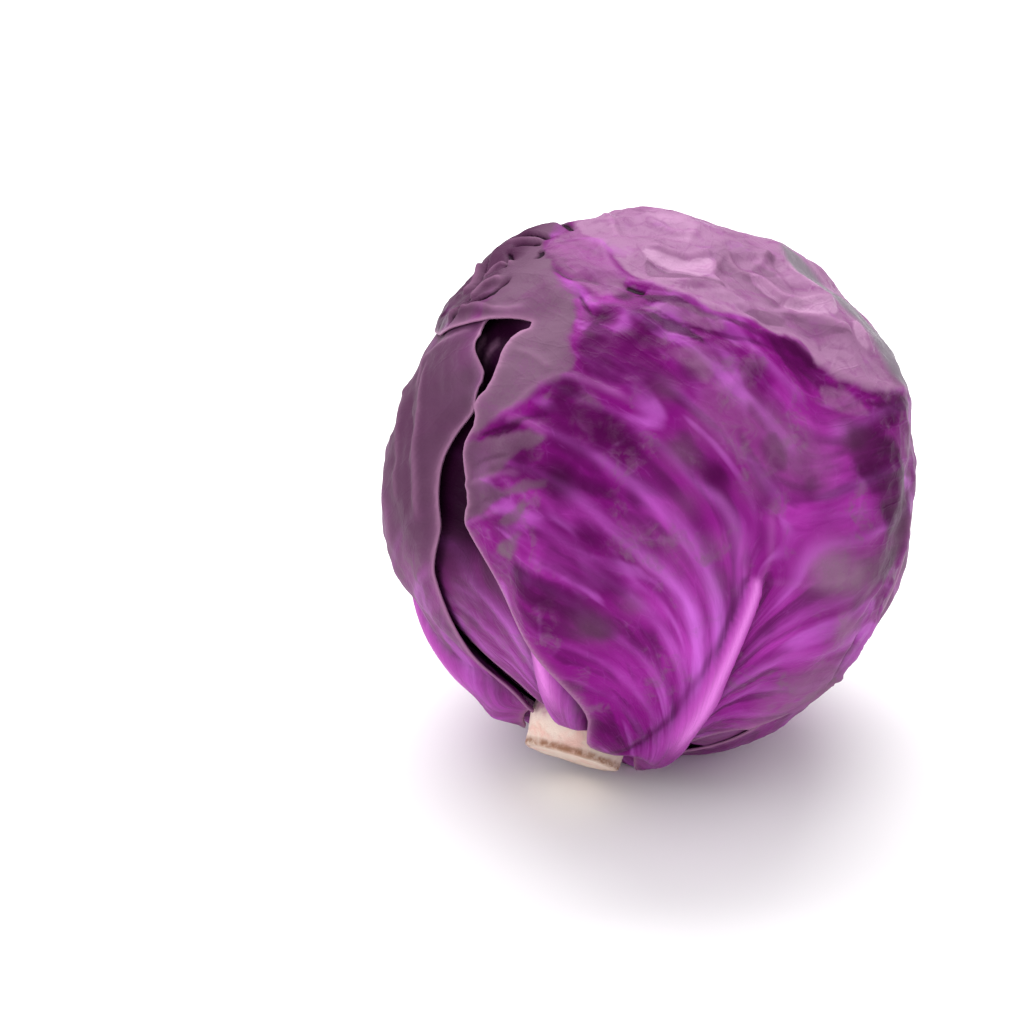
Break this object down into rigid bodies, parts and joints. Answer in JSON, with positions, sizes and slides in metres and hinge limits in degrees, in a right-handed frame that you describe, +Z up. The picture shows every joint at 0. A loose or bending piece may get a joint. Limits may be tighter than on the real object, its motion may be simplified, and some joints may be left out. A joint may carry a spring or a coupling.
{
  "type": "cabbage head",
  "caption": "Whole red cabbage head lying on its side: a tight round heart inside overlapping wrapper leaves with raised midribs and veins, and a short cut stem.",
  "frame": {"origin": "the middle of the small flat spot of the belly that the head rests on, at the level of the surface under it", "axes": "+Z up from that surface, -Y towards the side where the front leaf shows its midrib, +X to the right as seen from there; the cut stem points down, forward and a little to the left"},
  "size_m": [0.1573, 0.1617, 0.1536],
  "materials": {
    "front_leaf": "waxy purple leaf with paler magenta midrib and veins, dull grey bloom in patches",
    "wrapper_leaf_left": "waxy purple leaf, mostly under a dull grey bloom, with paler veins",
    "wrapper_leaf_right": "waxy purple leaf with paler magenta midrib and veins",
    "inner_leaf": "waxy purple leaf, a little paler and cleaner than the outer ones",
    "heart": "tight purple leaves, waxy",
    "stem": "pale cream cut stem with a pinkish tinge, dry and brownish at the cut rim"
  },
  "bodies": {
    "root": {"front_leaf": "front_leaf", "wrapper_leaf_left": "wrapper_leaf_left", "wrapper_leaf_right": "wrapper_leaf_right", "inner_leaf_front": "inner_leaf", "inner_leaf_back": "inner_leaf", "heart": "heart", "stem": "stem"}
  },
  "joints": []
}
